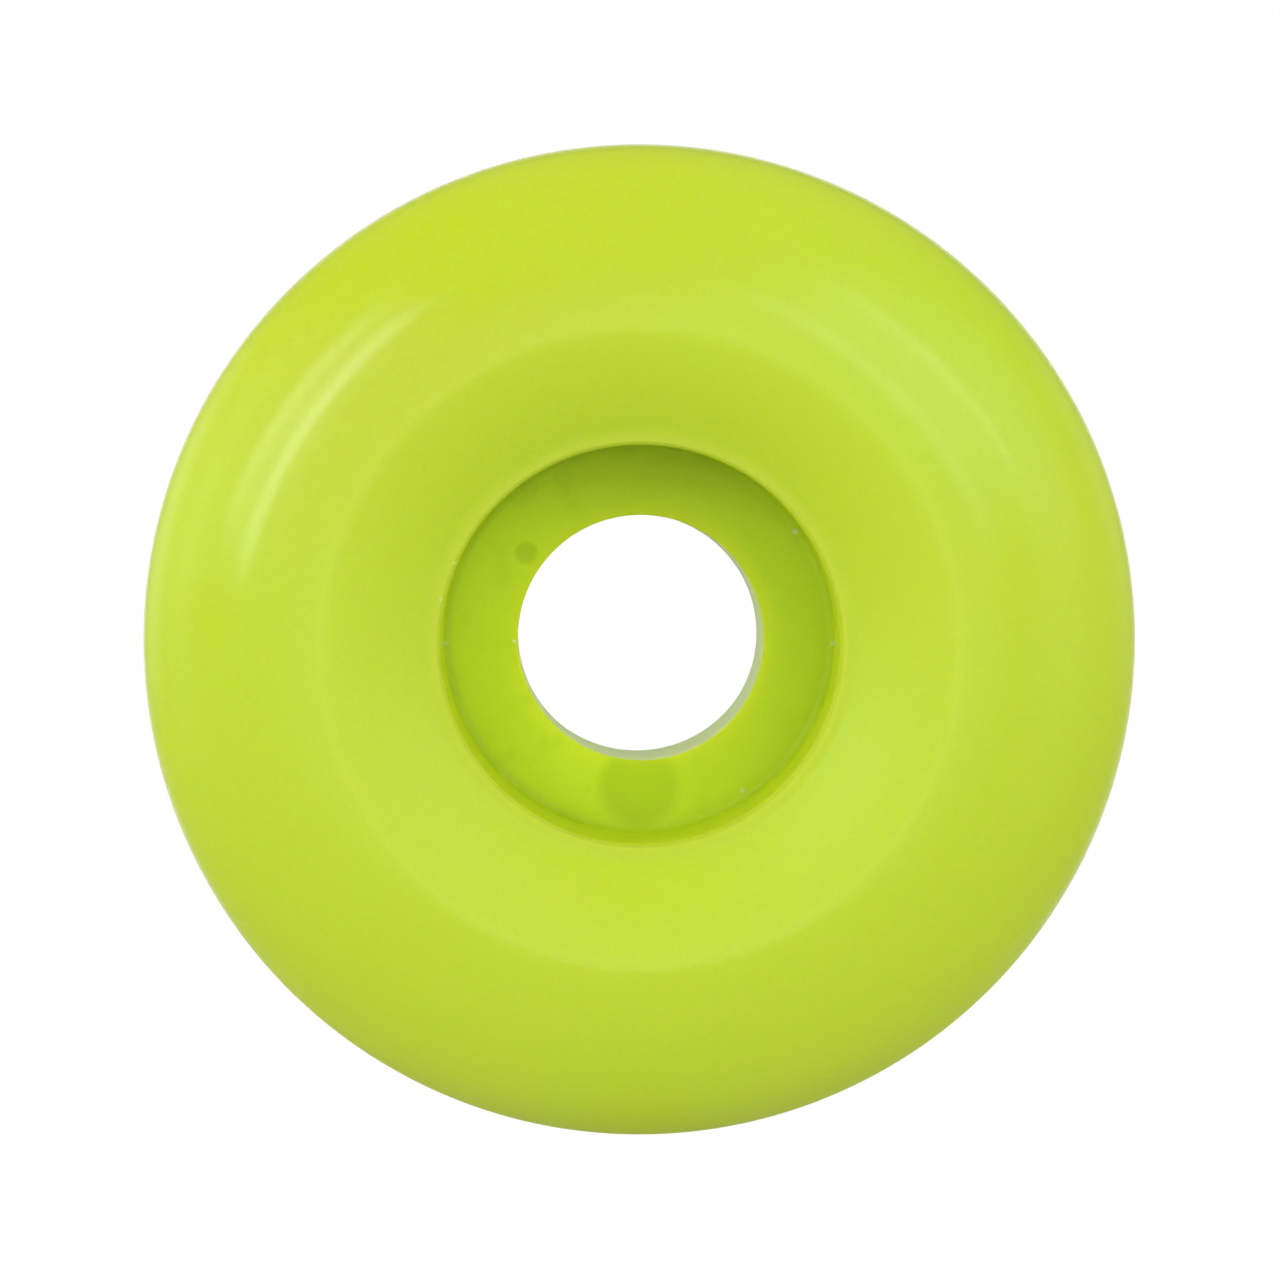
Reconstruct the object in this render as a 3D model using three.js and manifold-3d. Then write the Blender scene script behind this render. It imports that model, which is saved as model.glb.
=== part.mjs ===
// A bare skateboard wheel, cast in one piece of polyurethane.
// Millimetres, +Z up. The wheel's axis is +Y, its centre is the origin and its front face looks along -Y.
import * as THREE from "three";
import { mergeVertices } from "three/addons/utils/BufferGeometryUtils.js";
import Module from "manifold-3d";

// Overall size.
const OUTER_RADIUS = 27.5;
const HALF_WIDTH = 14.25;
const TREAD_HALF_WIDTH = 8.5;

// Bearing seat: a bearing 22 across and 7 thick presses in just below the mouth.
// The wall opens slightly towards the mouth, and is a little tight at the floor.
const SEAT_FLOOR_RADIUS = 10.95;
const SEAT_MOUTH_RADIUS = 11;
const SEAT_DEPTH = 7.2;
const SEAT_FLOOR_FILLET = 0.4;
const SEAT_MOUTH_ROUNDING = 0.15;

// Web between the two seats, and the bore through it. The bore narrows towards the mould's parting line.
const WEB_HALF_THICKNESS = 5;
const BORE_FRONT_RADIUS = 6.87;
const BORE_MIDDLE_RADIUS = 6.72;
const BORE_BACK_RADIUS = 7.05;
const BORE_EDGE_ROUNDING = 0.2;
const MOUTH_HEIGHT = WEB_HALF_THICKNESS + SEAT_DEPTH;

// Side face: a narrow flat rim around the seat, a dish that climbs from it to the crest,
// and a lip that rolls from the crest to the tread.
const RIM_RADIUS = 11.5;
const DISH_FOOT_ROUNDING = 1.3;
const DISH_FOOT_SLOPE = THREE.MathUtils.degToRad(30);
const DISH_TOP_SLOPE = THREE.MathUtils.degToRad(11);
const CREST_RADIUS = 17.3;
const CREST_ROUNDING = 2.5;
const LIP_START_SLOPE = THREE.MathUtils.degToRad(4.1);
const LIP_CENTRE_RADIUS = 15.8;

// Marks that the mould leaves on the floor of the front seat.
const PIN_MARK = { radius: 2.2, depth: 0.1, x: 0, z: -8.35 };
const VENT_MARK = { radius: 0.65, depth: 0.12, x: -6.3, z: 4.75 };

// Facets.
const WHEEL_SEGMENTS = 80;
const MARK_SEGMENTS = 28;
const LIP_STEPS = 10;
const DISH_STEPS = 4;
const ROUNDING_STEPS = 2;

const QUARTER = Math.PI / 2;

// Points on a circle's arc, as [distance from the axis, height above the middle of the wheel].
function arc(centreR, centreH, radius, fromAngle, toAngle, steps) {
  const points = [];
  for (let i = 0; i <= steps; i += 1) {
    const angle = fromAngle + ((toAngle - fromAngle) * i) / steps;
    points.push([
      centreR + radius * Math.cos(angle),
      centreH + radius * Math.sin(angle),
    ]);
  }
  return points;
}

// The bore's edge, the floor of the seat and its wall, from inside to the mouth.
function seatOutline(boreRadius) {
  return [
    ...arc(
      boreRadius + BORE_EDGE_ROUNDING,
      WEB_HALF_THICKNESS - BORE_EDGE_ROUNDING,
      BORE_EDGE_ROUNDING,
      Math.PI,
      QUARTER,
      ROUNDING_STEPS,
    ),
    ...arc(
      SEAT_FLOOR_RADIUS - SEAT_FLOOR_FILLET,
      WEB_HALF_THICKNESS + SEAT_FLOOR_FILLET,
      SEAT_FLOOR_FILLET,
      -QUARTER,
      0,
      ROUNDING_STEPS,
    ),
    ...arc(
      SEAT_MOUTH_RADIUS + SEAT_MOUTH_ROUNDING,
      MOUTH_HEIGHT - SEAT_MOUTH_ROUNDING,
      SEAT_MOUTH_ROUNDING,
      Math.PI,
      QUARTER,
      ROUNDING_STEPS,
    ),
  ];
}

// The dish: a hollow foot at the rim, a slope that eases off as it climbs, and the rounded crest.
function dishOutline() {
  const foot = arc(
    RIM_RADIUS,
    MOUTH_HEIGHT + DISH_FOOT_ROUNDING,
    DISH_FOOT_ROUNDING,
    -QUARTER,
    -QUARTER + DISH_FOOT_SLOPE,
    ROUNDING_STEPS,
  );
  const crest = arc(
    CREST_RADIUS,
    HALF_WIDTH - CREST_ROUNDING,
    CREST_ROUNDING,
    QUARTER + DISH_TOP_SLOPE,
    QUARTER - LIP_START_SLOPE,
    ROUNDING_STEPS + 1,
  );
  return [...foot, ...slopeBetween(foot.at(-1), crest[0]), ...crest];
}

// A cubic that leaves one point at the foot's slope and reaches the other at the crest's.
function slopeBetween([startR, startH], [endR, endH]) {
  const reach = endR - startR;
  const startRise = Math.tan(DISH_FOOT_SLOPE) * reach;
  const endRise = Math.tan(DISH_TOP_SLOPE) * reach;
  const points = [];
  for (let i = 1; i < DISH_STEPS; i += 1) {
    const t = i / DISH_STEPS;
    const eased = t * t * (3 - 2 * t);
    points.push([
      startR + reach * t,
      startH +
        (endH - startH) * eased +
        startRise * t * (1 - t) ** 2 -
        endRise * t * t * (1 - t),
    ]);
  }
  return points;
}

// The lip: part of an ellipse, from just past the crest to the edge of the tread.
function lipOutline() {
  const reach = OUTER_RADIUS - LIP_CENTRE_RADIUS;
  const startRadius = CREST_RADIUS + CREST_ROUNDING * Math.sin(LIP_START_SLOPE);
  const startAngle = Math.asin((startRadius - LIP_CENTRE_RADIUS) / reach);
  const startHeight =
    HALF_WIDTH - CREST_ROUNDING * (1 - Math.cos(LIP_START_SLOPE));
  const rise = (startHeight - TREAD_HALF_WIDTH) / Math.cos(startAngle);
  const points = [];
  for (let i = 1; i <= LIP_STEPS; i += 1) {
    const angle = startAngle + ((QUARTER - startAngle) * i) / LIP_STEPS;
    points.push([
      LIP_CENTRE_RADIUS + reach * Math.sin(angle),
      TREAD_HALF_WIDTH + rise * Math.cos(angle),
    ]);
  }
  return points;
}

// A closed solid of revolution about the wheel's axis.
function wheelGeometry() {
  const face = [...dishOutline(), ...lipOutline()];
  const front = [...seatOutline(BORE_FRONT_RADIUS), ...face];
  const back = [...seatOutline(BORE_BACK_RADIUS), ...face];
  const boreMiddle = [BORE_MIDDLE_RADIUS, 0];
  const outline = [
    boreMiddle,
    ...front.map(([radius, height]) => [radius, -height]),
    ...back.reverse(),
    boreMiddle,
  ];
  const profile = outline.map(([radius, y]) => new THREE.Vector2(radius, y));
  return new THREE.LatheGeometry(profile, WHEEL_SEGMENTS);
}

// A short round plug that stands on the front seat's floor and reaches below it by the mark's depth.
function markGeometry(mark) {
  const clearance = 1;
  const plug = new THREE.CylinderGeometry(
    mark.radius,
    mark.radius,
    mark.depth + clearance,
    MARK_SEGMENTS,
  );
  const middle = -WEB_HALF_THICKNESS + (mark.depth - clearance) / 2;
  return plug.translate(mark.x, middle, mark.z);
}

const wasm = await Module();
wasm.setup();

function solidFrom(geometry) {
  geometry.deleteAttribute("normal");
  geometry.deleteAttribute("uv");
  const merged = mergeVertices(geometry, 1e-4);
  return new wasm.Manifold(
    new wasm.Mesh({
      numProp: 3,
      vertProperties: merged.attributes.position.array,
      triVerts: new Uint32Array(merged.index.array),
    }),
  );
}

function geometryFrom(solid) {
  const mesh = solid.getMesh();
  const geometry = new THREE.BufferGeometry();
  geometry.setAttribute(
    "position",
    new THREE.BufferAttribute(new Float32Array(mesh.vertProperties), 3),
  );
  geometry.setIndex(new THREE.BufferAttribute(new Uint32Array(mesh.triVerts), 1));
  geometry.computeVertexNormals();
  return geometry;
}

// The wheel with the mould's two marks cut into the floor of its front seat.
function makeWheel() {
  let solid = solidFrom(wheelGeometry());
  for (const mark of [PIN_MARK, VENT_MARK]) {
    solid = solid.subtract(solidFrom(markGeometry(mark)));
  }
  const urethane = new THREE.MeshStandardMaterial({
    color: new THREE.Color().setRGB(0.54, 0.7, 0.05),
    roughness: 0.35,
    metalness: 0,
  });
  const wheel = new THREE.Mesh(geometryFrom(solid), urethane);
  wheel.name = "urethane_wheel";
  return wheel;
}

const skateWheel = new THREE.Group();
skateWheel.name = "skate_wheel";
skateWheel.add(makeWheel());

export default skateWheel;
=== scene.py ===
"""A bare cast urethane skateboard wheel: its fine shape, its material, the studio and the camera.

Metres, +Z up. The wheel's axis is +Y, its centre is the origin and its front face looks along -Y.
"""

import math
from types import SimpleNamespace

import bpy
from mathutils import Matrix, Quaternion, Vector


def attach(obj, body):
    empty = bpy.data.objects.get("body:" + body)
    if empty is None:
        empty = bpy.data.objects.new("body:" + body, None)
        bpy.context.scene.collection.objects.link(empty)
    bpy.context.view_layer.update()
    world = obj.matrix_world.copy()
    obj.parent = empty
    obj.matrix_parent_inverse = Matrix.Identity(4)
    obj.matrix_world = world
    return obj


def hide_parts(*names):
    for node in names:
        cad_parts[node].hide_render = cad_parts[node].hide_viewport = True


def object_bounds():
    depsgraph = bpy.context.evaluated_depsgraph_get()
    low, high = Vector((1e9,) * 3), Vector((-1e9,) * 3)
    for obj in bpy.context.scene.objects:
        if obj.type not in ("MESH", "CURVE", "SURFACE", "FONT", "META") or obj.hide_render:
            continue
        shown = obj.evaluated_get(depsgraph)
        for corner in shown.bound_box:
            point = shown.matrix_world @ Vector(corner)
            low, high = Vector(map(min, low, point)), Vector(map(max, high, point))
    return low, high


MM = 0.001
QUARTER = math.pi / 2

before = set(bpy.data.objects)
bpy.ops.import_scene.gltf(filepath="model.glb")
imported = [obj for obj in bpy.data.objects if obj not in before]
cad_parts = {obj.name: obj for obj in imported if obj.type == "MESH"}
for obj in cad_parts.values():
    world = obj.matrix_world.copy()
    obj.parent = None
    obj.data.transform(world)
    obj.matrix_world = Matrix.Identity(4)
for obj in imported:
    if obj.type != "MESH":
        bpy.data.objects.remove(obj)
cad_low, cad_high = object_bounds()

# ---------------------------------------------------------------- sizes, in millimetres

# The overall size is the CAD model's.
OUTER = (cad_high.x - cad_low.x) / 2 / MM
HALF_WIDTH = (cad_high.y - cad_low.y) / 2 / MM
TREAD_HALF = 8.5

# The web between the two seats, and the bore, which narrows towards the mould's parting line.
WEB_HALF = 5.0
BORE_FRONT = 6.88
BORE_MIDDLE = 6.77
BORE_BACK = 7.05
BORE_ROUNDING = 0.1

# The bearing seat.
SEAT_FLOOR = 10.95
SEAT_FILLET = 0.4
SEAT_MOUTH = 11.0
MOUTH_ROUNDING = 0.15
MOUTH_HEIGHT = 12.2

# The side face: a narrow rim, a dish that climbs to the crest, and a lip that rolls to the tread.
RIM = 11.5
FOOT_ROUNDING = 1.3
FOOT_SLOPE = math.radians(30)
TOP_SLOPE = math.radians(11)
CREST = 17.6
CREST_ROUNDING = 3.5
LIP_SLOPE = math.radians(4.1)
LIP_CENTRE = 15.8

# The mould's two cores don't quite line up, so the bore drifts sideways from its middle to its front.
FRONT_CORE_X = 0.1
BACK_CORE_X = -0.05

# Marks that the mould leaves on the floor of the front seat, each with a soft edge.
PIN_MARK = {"radius": 2.2, "depth": 0.05, "edge": 0.5, "x": 0.0, "z": -8.35}
VENT_MARK = {"radius": 0.6, "depth": 0.07, "edge": 0.5, "x": -6.3, "z": 4.75}

# Steps of the mesh: around the axis, and along each stretch of the outline.
SEGMENTS = 320
EDGE_STEPS = 6
BORE_STEPS = 8
FLOOR_STEPS = 22
FILLET_STEPS = 8
WALL_STEPS = 10
RIM_STEPS = 3
FOOT_STEPS = 8
DISH_STEPS = 16
CREST_STEPS = 10
LIP_STEPS = 40
TREAD_STEPS = 4


# ---------------------------------------------------------------- shape


def arc(centre_r, centre_h, radius, start, end, steps):
    """Points on a circle's arc, as (distance from the axis, height above the middle)."""
    points = []
    for i in range(steps + 1):
        angle = start + (end - start) * i / steps
        points.append(
            (centre_r + radius * math.cos(angle), centre_h + radius * math.sin(angle))
        )
    return points


def line(start, end, steps):
    """Points from start up to, and not including, end."""
    return [
        (
            start[0] + (end[0] - start[0]) * i / steps,
            start[1] + (end[1] - start[1]) * i / steps,
        )
        for i in range(steps)
    ]


def seat(bore_radius):
    """The bore from its middle to its edge, the floor of the seat, its wall and its mouth."""
    bore_edge = arc(
        bore_radius + BORE_ROUNDING,
        WEB_HALF - BORE_ROUNDING,
        BORE_ROUNDING,
        math.pi,
        QUARTER,
        EDGE_STEPS,
    )
    fillet = arc(
        SEAT_FLOOR - SEAT_FILLET,
        WEB_HALF + SEAT_FILLET,
        SEAT_FILLET,
        -QUARTER,
        0,
        FILLET_STEPS,
    )
    mouth = arc(
        SEAT_MOUTH + MOUTH_ROUNDING,
        MOUTH_HEIGHT - MOUTH_ROUNDING,
        MOUTH_ROUNDING,
        math.pi,
        QUARTER,
        EDGE_STEPS,
    )
    points = line((BORE_MIDDLE, 0.0), bore_edge[0], BORE_STEPS)
    points += bore_edge[:-1]
    points += line(bore_edge[-1], fillet[0], FLOOR_STEPS)
    points += fillet[:-1]
    points += line(fillet[-1], mouth[0], WALL_STEPS)
    return points + mouth[:-1]


def dish():
    """The rim around the seat, the slope that climbs from it, and the rounded crest."""
    foot = arc(
        RIM,
        MOUTH_HEIGHT + FOOT_ROUNDING,
        FOOT_ROUNDING,
        -QUARTER,
        FOOT_SLOPE - QUARTER,
        FOOT_STEPS,
    )
    crest = arc(
        CREST,
        HALF_WIDTH - CREST_ROUNDING,
        CREST_ROUNDING,
        QUARTER + TOP_SLOPE,
        QUARTER - LIP_SLOPE,
        CREST_STEPS,
    )
    rim = line((SEAT_MOUTH + MOUTH_ROUNDING, MOUTH_HEIGHT), foot[0], RIM_STEPS)
    slope = slope_between(foot[-1], crest[0], DISH_STEPS)
    return rim + foot[:-1] + slope + crest[:-1]


def slope_between(start, end, steps):
    """A cubic that leaves start at the foot's slope and reaches end at the crest's."""
    reach = end[0] - start[0]
    climb = end[1] - start[1]
    start_rise = math.tan(FOOT_SLOPE) * reach
    end_rise = math.tan(TOP_SLOPE) * reach
    points = []
    for i in range(steps):
        t = i / steps
        height = climb * t * t * (3 - 2 * t)
        height += start_rise * t * (1 - t) ** 2 - end_rise * t * t * (1 - t)
        points.append((start[0] + reach * t, start[1] + height))
    return points


def lip():
    """Part of an ellipse, from just past the crest to the edge of the tread."""
    reach = OUTER - LIP_CENTRE
    start_radius = CREST + CREST_ROUNDING * math.sin(LIP_SLOPE)
    start = math.asin((start_radius - LIP_CENTRE) / reach)
    start_height = HALF_WIDTH - CREST_ROUNDING * (1 - math.cos(LIP_SLOPE))
    rise = (start_height - TREAD_HALF) / math.cos(start)
    points = []
    for i in range(LIP_STEPS):
        angle = start + (QUARTER - start) * i / LIP_STEPS
        radius = LIP_CENTRE + reach * math.sin(angle)
        height = TREAD_HALF + rise * math.cos(angle)
        points.append((radius, height))
    return points


def side_outline(bore_radius):
    """The wheel's outline on one side, from the middle of the bore to the middle of the tread."""
    tread = line((OUTER, TREAD_HALF), (OUTER, 0.0), TREAD_STEPS) + [(OUTER, 0.0)]
    return seat(bore_radius) + dish() + lip() + tread


def mark_depth(mark, x, z):
    """How far below the floor a mould mark lies at a point, with a soft edge."""
    away = math.hypot(x - mark["x"], z - mark["z"])
    share = (mark["radius"] - away) / mark["edge"] + 0.5
    share = min(1.0, max(0.0, share))
    return mark["depth"] * share * share * (3 - 2 * share)


def on_floor(radius, height):
    """True on the floor of the front seat."""
    tolerance = 0.02
    return abs(height + WEB_HALF) < tolerance and radius < SEAT_FLOOR


def core_shift(radius, height):
    """How far the bore's wall is moved sideways at this height."""
    tolerance = 0.01
    if radius > BORE_BACK + BORE_ROUNDING + tolerance:
        return 0.0
    share = min(1.0, max(0.0, -height / WEB_HALF))
    return BACK_CORE_X + (FRONT_CORE_X - BACK_CORE_X) * share


def wheel_mesh(name):
    """The whole casting as one closed mesh turned about the Y axis."""
    front = [(r, -h) for r, h in side_outline(BORE_FRONT)]
    back = list(reversed(side_outline(BORE_BACK)))
    outline = front + back[1:-1]
    vertices = []
    for j in range(SEGMENTS):
        turn = 2 * math.pi * j / SEGMENTS
        for radius, y in outline:
            x = radius * math.cos(turn) + core_shift(radius, y)
            z = radius * math.sin(turn)
            sunk = 0.0
            if on_floor(radius, y):
                sunk = mark_depth(PIN_MARK, x, z) + mark_depth(VENT_MARK, x, z)
            vertices.append((x * MM, (y + sunk) * MM, z * MM))
    count = len(outline)
    faces = []
    for j in range(SEGMENTS):
        k = (j + 1) % SEGMENTS
        for i in range(count):
            n = (i + 1) % count
            faces.append(
                (j * count + i, k * count + i, k * count + n, j * count + n)
            )
    return smooth_mesh(name, vertices, faces)


def smooth_mesh(name, vertices, faces):
    mesh = bpy.data.meshes.new(name)
    mesh.from_pydata(vertices, [], faces)
    mesh.update()
    mesh.shade_smooth()
    return mesh


def add_object(name, data):
    """A new object in the scene."""
    made = bpy.data.objects.new(name, data)
    bpy.context.scene.collection.objects.link(made)
    return made


# ---------------------------------------------------------------- material


class Graph:
    """A short way to build a material's nodes."""

    def __init__(self, name):
        self.material = bpy.data.materials.new(name)
        self.material.use_nodes = True
        self.tree = self.material.node_tree
        self.shader = self.tree.nodes["Principled BSDF"]

    def node(self, kind, **settings):
        made = self.tree.nodes.new(kind)
        for key, value in settings.items():
            setattr(made, key, value)
        return made

    def put(self, socket, value):
        """Links value to a socket, or sets it there if it is a plain value."""
        if isinstance(value, bpy.types.NodeSocket):
            self.tree.links.new(value, socket)
        else:
            socket.default_value = value

    def math(self, operation, a, b=0.0, c=0.0):
        made = self.node("ShaderNodeMath", operation=operation)
        for socket, value in zip(made.inputs, (a, b, c)):
            self.put(socket, value)
        return made.outputs["Value"]

    def both(self, a, b):
        """The product of two shares."""
        return self.math("MULTIPLY", a, b)

    def step(self, value, low, high):
        """0 at low, 1 at high, and smooth in between."""
        made = self.node("ShaderNodeMapRange", interpolation_type="SMOOTHSTEP")
        self.put(made.inputs["Value"], value)
        made.inputs["From Min"].default_value = low
        made.inputs["From Max"].default_value = high
        return made.outputs["Result"]

    def step_mm(self, value, low, high):
        """The same for a length, with low and high in millimetres."""
        return self.step(value, low * MM, high * MM)

    def blend(self, share, a, b):
        """Colour a where share is 0 and colour b where it is 1."""
        made = self.node("ShaderNodeMix", data_type="RGBA")
        self.put(made.inputs["Factor"], share)
        self.put(made.inputs["A"], a)
        self.put(made.inputs["B"], b)
        return made.outputs["Result"]

    def noise(self, place, scale, detail=2.0, roughness=0.5):
        made = self.node("ShaderNodeTexNoise")
        self.put(made.inputs["Vector"], place)
        made.inputs["Scale"].default_value = scale
        made.inputs["Detail"].default_value = detail
        made.inputs["Roughness"].default_value = roughness
        return made.outputs["Fac"]

    def noise_along(self, axis, value, scale, detail):
        """Noise that changes only with value, so that it makes rings or lines."""
        place = self.node("ShaderNodeCombineXYZ")
        self.put(place.inputs[axis], value)
        return self.noise(place.outputs["Vector"], scale, detail)


# Linear colours of the urethane.
DISH_LIME = (0.565, 0.715, 0.028, 1)
LIP_LIME = (0.565, 0.715, 0.039, 1)
DRIFTED_LIME = (0.575, 0.705, 0.025, 1)
WARM_LIME = (0.565, 0.655, 0.024, 1)
GREEN_LIME = (0.545, 0.715, 0.035, 1)
YELLOW_LIME = (0.555, 0.69, 0.01, 1)
PALE_LIME = (0.565, 0.715, 0.05, 1)
# Painted shade: the rim around the seat and the edge of its mouth are darkened.
RIM_PAINTED_SHADE = (0.52, 0.655, 0.028, 1)
EDGE_PAINTED_SHADE = (0.41, 0.52, 0.02, 1)
# Painted shade near the bore, and painted light on the seat's -X side and on its wall.
SEAT_SHADE_NEAR_BORE = (0.52, 0.65, 0.008, 1)
SEAT_OUTER = (0.54, 0.675, 0.008, 1)
SEAT_PAINTED_LIGHT = (0.605, 0.765, 0.01, 1)
# Painted light for the seat's wall.
WALL_PAINTED_LIGHT = (0.58, 0.73, 0.012, 1)
# Painted reflection of the white backdrop on the bore's wall.
BORE_PAINTED_REFLECTION = (0.7, 0.78, 0.42, 1)
SMUDGE = (0.47, 0.62, 0.001, 1)
SPECK = (0.72, 0.8, 0.4, 1)

# Round patches of colour, each as (x, z, radius, strength), with its lengths in millimetres.
# First the faint smudges on the floor of the front seat.
SMUDGES = [
    (PIN_MARK["x"], PIN_MARK["z"], 2.2, 1.0),
    (VENT_MARK["x"], VENT_MARK["z"], 0.62, 0.65),
]

# Tiny pale specks of flash and dust around the front seat.
SPECKS = [
    (-10.95, 2.5, 0.09, 0.5),
    (-10.85, -0.3, 0.11, 0.7),
    (-10.2, 4.5, 0.09, 0.5),
    (8.75, 5.95, 0.16, 0.6),
    (10.85, -0.3, 0.11, 0.6),
    (5.8, -8.6, 0.14, 0.5),
    (-7.0, -0.2, 0.1, 0.9),
]

# Parts of the lip where the lime is warmer or greener, and small ones where it is yellower. The green
# and yellow patches low on the bottom edge are painted shade there.
WARM_PATCHES = [(-12.7, 17.2, 10.0, 0.85), (-3.0, 25.0, 7.0, 0.6)]
GREEN_TONE_AND_LOW_SHADE = [(17.5, 14.7, 7.0, 1.0), (0.0, -27.0, 5.0, 1.0)]
YELLOW_TONE_AND_LOW_SHADE = [
    (-10.0, 21.5, 3.2, 0.5),
    (-15.5, 19.5, 2.4, 0.4),
    (-23.7, 2.0, 1.7, 0.45),
    (0.0, -28.5, 3.6, 0.8),
]

# How soft a patch's edge is, as a share of its radius.
PATCH_SOFTNESS = 0.8
YELLOW_SOFTNESS = 0.6
SPECK_SOFTNESS = 0.4
SMUDGE_SOFTNESS = 0.25

# Scales of the noises, in features per metre, from the slowest to the finest.
DRIFT_SCALE = 38.0
CLOUD_SCALE = 420.0
RING_SCALE = 1100.0
MOTTLE_SCALE = 1300.0
PEEL_SCALE = 1400.0
GRAIN_SCALE = 4200.0
LATHE_SCALE = 5200.0

# How much the fine variations of colour show.
MOTTLE_SHARE = 0.4
CLOUD_SHARE = 0.5
GRAIN_RANGE = 0.06
GRAIN_DARKEST = 0.97

# Roughness of the lip, and what is added to it elsewhere.
LIP_ROUGHNESS = 0.16
MOTTLE_ROUGHNESS = 0.03
DISH_ROUGHER = 0.22
SEAT_ROUGHER = 0.15
TREAD_ROUGHER = 0.2
LOW_EDGE_ROUGHER = 0.4

# Relative heights of the relief, and what it all is scaled by.
PEEL_HEIGHT = 0.25
RING_HEIGHT = 1.5
LATHE_HEIGHT = 2.0
RELIEF_STRENGTH = 0.5
RELIEF_DISTANCE = 0.01 * MM


def distance(graph, x, z, centre_x=0.0, centre_z=0.0):
    """How far a point is, in metres, from a line that runs along Y."""
    across = graph.math("SUBTRACT", x, centre_x * MM)
    up = graph.math("SUBTRACT", z, centre_z * MM)
    across = graph.math("MULTIPLY", across, across)
    up = graph.math("MULTIPLY", up, up)
    return graph.math("SQRT", graph.math("ADD", across, up))


def patches(graph, at, places, softness):
    """Each patch's strength inside it, 0 away from all of them, and soft edges."""
    total = 0.0
    for centre_x, centre_z, radius, strength in places:
        away = distance(graph, at.x, at.z, centre_x, centre_z)
        near = graph.step_mm(away, radius * (1 + softness), radius * (1 - softness))
        total = graph.math("MAXIMUM", graph.both(near, strength), total)
    return total


def surface(graph):
    """Where a point is on the wheel, and its share, from 0 to 1, in each part of the surface."""
    at = SimpleNamespace()
    at.place = graph.node("ShaderNodeTexCoord").outputs["Object"]
    split = graph.node("ShaderNodeSeparateXYZ")
    graph.put(split.inputs["Vector"], at.place)
    at.x, at.y, at.z = (split.outputs[axis] for axis in "XYZ")
    at.radius = distance(graph, at.x, at.z)
    from_middle = graph.math("ABSOLUTE", at.y)

    at.front = graph.step_mm(at.y, 0.8 - WEB_HALF, 0.2 - WEB_HALF)
    at.bore = graph.both(
        graph.step_mm(at.radius, BORE_BACK + 0.35, BORE_BACK + 0.25),
        graph.step_mm(from_middle, WEB_HALF - 0.05, WEB_HALF - 0.15),
    )
    at.seat = graph.step_mm(at.radius, SEAT_MOUTH + 0.05, SEAT_MOUTH - 0.01)
    # The wall's share carries painted light.
    at.wall = graph.step_mm(at.radius, SEAT_FLOOR - 0.6, SEAT_FLOOR - 0.25)
    # The edge and rim shares below carry painted shade around the seat's mouth.
    at.edge = graph.step_mm(at.radius, SEAT_MOUTH + 0.25, SEAT_MOUTH + 0.1)
    at.rim = graph.step_mm(at.radius, RIM + 0.5, RIM - 0.2)
    at.dish = graph.step_mm(at.radius, CREST, CREST - 0.8)
    at.lip = graph.step_mm(at.radius, CREST - 3.6, CREST + 1.4)
    at.low_edge = graph.both(
        graph.step_mm(at.radius, OUTER - 2.0, OUTER - 0.5),
        graph.step_mm(at.z, -12.0, -22.0),
    )
    at.tread = graph.both(
        graph.step_mm(at.radius, OUTER - 0.3, OUTER - 0.05),
        graph.step_mm(from_middle, TREAD_HALF - 0.2, TREAD_HALF - 0.6),
    )
    return at


def skin_colour(graph, at, mottle):
    """The dish and the lip: slow drifts towards other limes, a faint mottle, painted shade low on the
    bottom edge, and painted shade on the rim and the edge around the seat's mouth.
    """
    drift = graph.noise(at.place, DRIFT_SCALE, 2.0)
    green_and_low_shade = graph.both(patches(graph, at, GREEN_TONE_AND_LOW_SHADE, PATCH_SOFTNESS), at.lip)
    warmth = graph.both(patches(graph, at, WARM_PATCHES, PATCH_SOFTNESS), at.lip)
    yellow_and_low_shade = patches(graph, at, YELLOW_TONE_AND_LOW_SHADE, YELLOW_SOFTNESS)
    mottling = graph.both(graph.step(mottle, 0.3, 0.7), MOTTLE_SHARE)
    colour = graph.blend(at.lip, DISH_LIME, LIP_LIME)
    colour = graph.blend(graph.step(drift, 0.5, 0.75), colour, DRIFTED_LIME)
    # The green and yellow patches low on the bottom edge paint shade there.
    colour = graph.blend(green_and_low_shade, colour, GREEN_LIME)
    colour = graph.blend(warmth, colour, WARM_LIME)
    colour = graph.blend(yellow_and_low_shade, colour, YELLOW_LIME)
    colour = graph.blend(mottling, colour, PALE_LIME)
    # Painted shade on the rim and the mouth's edge.
    colour = graph.blend(at.rim, colour, RIM_PAINTED_SHADE)
    return graph.blend(at.edge, colour, EDGE_PAINTED_SHADE)


def seat_colour(graph, at):
    """The seat's floor and wall, without the front's smudges: painted shade near the bore, painted
    light towards -X so that the floor is darker towards +X, and painted light on the wall.
    """
    outwards = graph.step_mm(at.radius, 6.5, 10.5)
    across = graph.step_mm(at.x, -9.0, 9.0)
    # Painted shade near the bore.
    colour = graph.blend(outwards, SEAT_SHADE_NEAR_BORE, SEAT_OUTER)
    # Painted light towards -X.
    colour = graph.blend(across, SEAT_PAINTED_LIGHT, colour)
    # Painted light on the seat's wall, where its corner would be shaded.
    return graph.blend(at.wall, colour, WALL_PAINTED_LIGHT)


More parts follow.
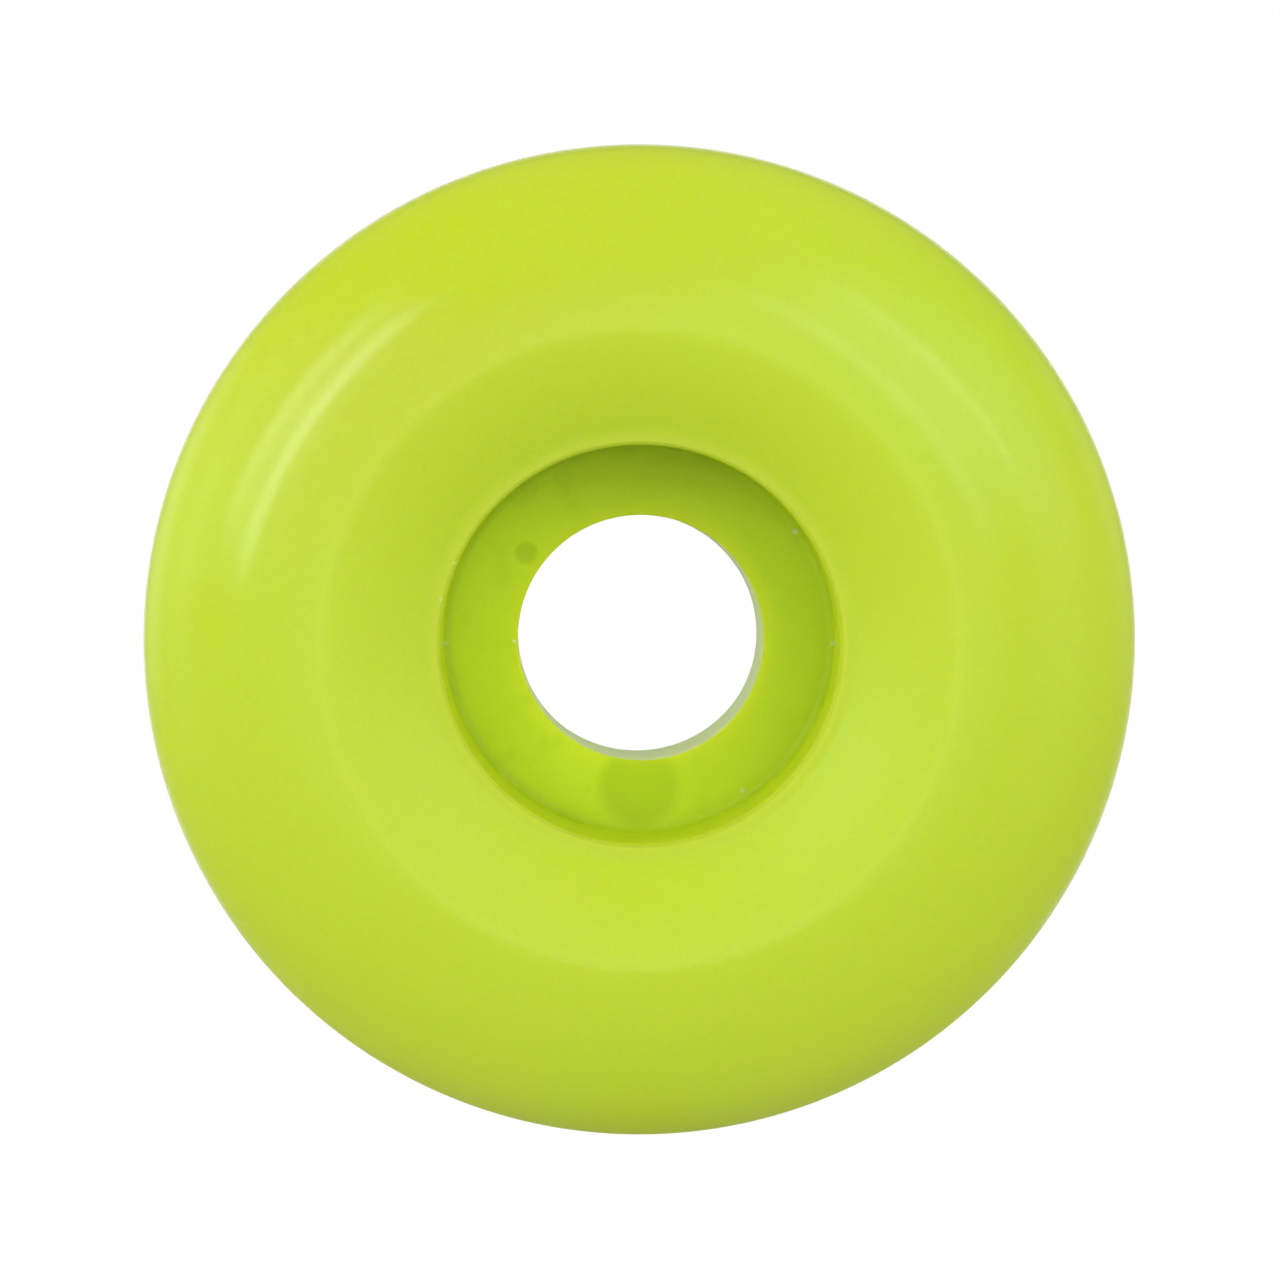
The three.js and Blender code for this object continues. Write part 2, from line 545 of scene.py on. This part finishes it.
def front_smudges(graph, at):
    """Where the front seat is smudged: at the mould marks, and in faint clouds."""
    cloud = graph.noise(at.place, CLOUD_SCALE, 3.0, 0.6)
    clouds = graph.both(graph.step(cloud, 0.5, 0.8), CLOUD_SHARE)
    marks = patches(graph, at, SMUDGES, SMUDGE_SOFTNESS)
    smudges = graph.both(graph.math("MAXIMUM", marks, clouds), at.front)
    return graph.both(smudges, at.seat)


def urethane_colour(graph, at, mottle):
    """The whole wheel's colour, with painted light and shade in places, a painted reflection on the
    bore, and a fine grain over it.
    """
    specks = graph.both(patches(graph, at, SPECKS, SPECK_SOFTNESS), at.front)
    colour = graph.blend(at.seat, skin_colour(graph, at, mottle), seat_colour(graph, at))
    colour = graph.blend(front_smudges(graph, at), colour, SMUDGE)
    # Painted reflection of the backdrop on the bore's wall.
    colour = graph.blend(at.bore, colour, BORE_PAINTED_REFLECTION)
    colour = graph.blend(specks, colour, SPECK)
    grain = graph.noise(at.place, GRAIN_SCALE, 1.0)
    grained = graph.node("ShaderNodeHueSaturation")
    graph.put(grained.inputs["Color"], colour)
    brightness = graph.math("MULTIPLY_ADD", grain, GRAIN_RANGE, GRAIN_DARKEST)
    graph.put(grained.inputs["Value"], brightness)
    return grained.outputs["Color"]


def urethane_roughness(graph, at, mottle):
    """Shiny on the lip, satin in the dish, duller in the seat, on the tread and low on the edge."""
    rough = graph.math("MULTIPLY_ADD", mottle, MOTTLE_ROUGHNESS, LIP_ROUGHNESS)
    rough = graph.math("MULTIPLY_ADD", at.dish, DISH_ROUGHER, rough)
    rough = graph.math("MULTIPLY_ADD", at.seat, SEAT_ROUGHER, rough)
    rough = graph.math("MULTIPLY_ADD", at.tread, TREAD_ROUGHER, rough)
    return graph.math("MULTIPLY_ADD", at.low_edge, LOW_EDGE_ROUGHER, rough)


def urethane_relief(graph, at):
    """A faint orange peel, rings left by turning the mould, and lathe lines on the tread."""
    peel = graph.noise(at.place, PEEL_SCALE, 2.0)
    rings = graph.noise_along("X", at.radius, RING_SCALE, 2.0)
    lathe = graph.noise_along("Y", at.y, LATHE_SCALE, 3.0)
    relief = graph.math("MULTIPLY", peel, PEEL_HEIGHT)
    relief = graph.math("MULTIPLY_ADD", rings, RING_HEIGHT, relief)
    relief = graph.math(
        "MULTIPLY_ADD", graph.both(lathe, at.tread), LATHE_HEIGHT, relief
    )
    bump = graph.node("ShaderNodeBump")
    bump.inputs["Strength"].default_value = RELIEF_STRENGTH
    bump.inputs["Distance"].default_value = RELIEF_DISTANCE
    graph.put(bump.inputs["Height"], relief)
    return bump.outputs["Normal"]


def urethane():
    """Lime green cast urethane: a translucent moulded skin, a bearing seat and a turned tread."""
    graph = Graph("lime_urethane")
    shader = graph.shader
    at = surface(graph)
    mottle = graph.noise(at.place, MOTTLE_SCALE, 3.0, 0.6)
    graph.put(shader.inputs["Base Color"], urethane_colour(graph, at, mottle))
    graph.put(shader.inputs["Roughness"], urethane_roughness(graph, at, mottle))
    graph.put(shader.inputs["Normal"], urethane_relief(graph, at))
    shader.inputs["IOR"].default_value = 1.45
    shader.inputs["Specular IOR Level"].default_value = 0.3
    shader.inputs["Subsurface Weight"].default_value = 1.0
    shader.inputs["Subsurface Radius"].default_value = (1.0, 1.0, 0.25)
    shader.inputs["Subsurface Scale"].default_value = 3.0 * MM
    return graph.material


# ---------------------------------------------------------------- the wheel

wheel = add_object("wheel_casting", wheel_mesh("wheel_casting"))
wheel.data.materials.append(urethane())
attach(wheel, "root")
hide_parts("urethane_wheel")


# ---------------------------------------------------------------- studio

# The paper sweep, in metres: a floor, a quarter round and an upright backdrop.
FLOOR_HEIGHT = -0.30
FLOOR_FRONT = -2.0
BACKDROP_AT = 1.2
BACKDROP_TOP = 2.0
PAPER_HALF = 3.0
CURVE_RADIUS = 0.4
CURVE_STEPS = 24


def pale_paper():
    graph = Graph("pale_paper")
    graph.shader.inputs["Base Color"].default_value = (0.86, 0.86, 0.86, 1)
    graph.shader.inputs["Roughness"].default_value = 0.9
    return graph.material


def sweep():
    """A pale floor that curves up into a backdrop behind the wheel."""
    outline = [(FLOOR_FRONT, FLOOR_HEIGHT)]
    for i in range(CURVE_STEPS + 1):
        angle = QUARTER * i / CURVE_STEPS
        y = BACKDROP_AT - CURVE_RADIUS + CURVE_RADIUS * math.sin(angle)
        z = FLOOR_HEIGHT + CURVE_RADIUS - CURVE_RADIUS * math.cos(angle)
        outline.append((y, z))
    outline.append((BACKDROP_AT, BACKDROP_TOP))
    vertices = []
    for y, z in outline:
        vertices.append((-PAPER_HALF, y, z))
        vertices.append((PAPER_HALF, y, z))
    faces = [
        (2 * i, 2 * i + 1, 2 * i + 3, 2 * i + 2) for i in range(len(outline) - 1)
    ]
    paper = add_object("paper_sweep", smooth_mesh("paper_sweep", vertices, faces))
    paper.data.materials.append(pale_paper())


# Soft boxes that face the wheel, as (name, azimuth, elevation, width, height, roll, radiance).
# Angles are in degrees: azimuth 0 is in front of the wheel and 90 is to its right.
SOFT_BOXES = [
    ("front", 0, 3, 0.80, 0.32, 0, 0.165),
    ("key_left", -60, 20, 0.50, 0.40, 0, 0.115),
    ("key_right", 45, 25, 0.50, 0.30, 0, 0.15),
    ("right", 50, 5, 0.22, 0.66, 0, 0.095),
    ("far_left", -75, 8, 0.22, 0.66, 0, 0.10),
    ("far_right", 75, 5, 0.22, 0.66, 0, 0.04),
    ("side_left", -110, 12, 0.40, 0.40, 0, 0.16),
    ("side_right", 110, 12, 0.40, 0.40, 0, 0.07),
    ("strip_left_glow", -28, 14.5, 0.13, 0.26, -30, 0.10),
    ("strip_left_inner", -32.5, 16.8, 0.02, 0.26, -30, 1.45),
    ("strip_left", -37.5, 19.3, 0.11, 0.26, -30, 0.29),
    ("strip_left_outer", -43.5, 22.3, 0.03, 0.26, -30, 0.55),
    ("strip_right_inner", 18, 14.5, 0.015, 0.22, 42, 0.92),
    ("strip_right", 25.5, 19.3, 0.10, 0.22, 42, 0.20),
    ("strip_right_outer", 33, 24, 0.015, 0.22, 42, 0.90),
]
BOX_AWAY = 0.5
BOX_SPREAD = math.radians(60)

# The light on the backdrop is above and behind the wheel.
BACKDROP_LIGHT_AT = Vector((0, 0.45, 0.75))
BACKDROP_LIGHT_SIZE = (1.6, 0.4)
BACKDROP_LIGHT_SPREAD = math.radians(120)
BACKDROP_RADIANCE = 2.58

WORLD_STRENGTH = 0.452


def area_light(name, size, radiance, spread, location, facing, roll=0.0):
    """A rectangular light that looks along facing and is turned about it by roll degrees."""
    width, height = size
    data = bpy.data.lights.new(name, "AREA")
    data.shape = "RECTANGLE"
    data.size = width
    data.size_y = height
    data.energy = radiance * math.pi * width * height
    data.spread = spread
    light = add_object(name, data)
    light.location = location
    light.rotation_mode = "QUATERNION"
    turned = Quaternion((0, 0, 1), math.radians(roll))
    light.rotation_quaternion = facing.to_track_quat("-Z", "Y") @ turned


def soft_box(name, azimuth, elevation, width, height, roll, radiance):
    """A light that faces the wheel from a distance of BOX_AWAY."""
    a = math.radians(azimuth)
    e = math.radians(elevation)
    towards = Vector(
        (math.sin(a) * math.cos(e), -math.cos(a) * math.cos(e), math.sin(e))
    )
    area_light(
        name, (width, height), radiance, BOX_SPREAD, towards * BOX_AWAY, -towards, roll
    )


def backdrop_light():
    """A wide light that faces the backdrop."""
    area_light(
        "backdrop_light",
        BACKDROP_LIGHT_SIZE,
        BACKDROP_RADIANCE,
        BACKDROP_LIGHT_SPREAD,
        BACKDROP_LIGHT_AT,
        Vector((0, BACKDROP_AT, 0)) - BACKDROP_LIGHT_AT,
    )


def world_light():
    """An even white light from all around."""
    world = bpy.data.worlds.new("studio")
    bpy.context.scene.world = world
    world.use_nodes = True
    background = world.node_tree.nodes["Background"]
    background.inputs["Color"].default_value = (1, 1, 1, 1)
    background.inputs["Strength"].default_value = WORLD_STRENGTH


sweep()
world_light()
backdrop_light()
for box_settings in SOFT_BOXES:
    soft_box(*box_settings)


# ---------------------------------------------------------------- camera

CAMERA_AWAY = 0.350
CAMERA_ABOVE = math.radians(3.2)
CAMERA_LEFT = math.radians(0.6)
AIM = Vector((0.02 * MM, -TREAD_HALF * MM, 0.07 * MM))
WHEEL_SHARE = 0.7745  # the wheel's diameter as a share of the picture's width
SENSOR = 36.0
CLIP_NEAR = 0.01
CLIP_FAR = 20


def set_camera():
    """A camera a little above and to the left of the wheel's axis, that looks at the front face."""
    data = bpy.data.cameras.new("camera")
    camera = add_object("camera", data)
    towards = Vector(
        (
            -math.sin(CAMERA_LEFT) * math.cos(CAMERA_ABOVE),
            -math.cos(CAMERA_LEFT) * math.cos(CAMERA_ABOVE),
            math.sin(CAMERA_ABOVE),
        )
    )
    camera.location = AIM + towards * CAMERA_AWAY
    camera.rotation_mode = "QUATERNION"
    camera.rotation_quaternion = (-towards).to_track_quat("-Z", "Y")
    data.sensor_width = SENSOR
    data.lens = SENSOR * WHEEL_SHARE * CAMERA_AWAY / (2 * OUTER * MM)
    data.clip_start = CLIP_NEAR
    data.clip_end = CLIP_FAR
    bpy.context.scene.camera = camera


set_camera()
bpy.context.scene.view_settings.view_transform = "Standard"
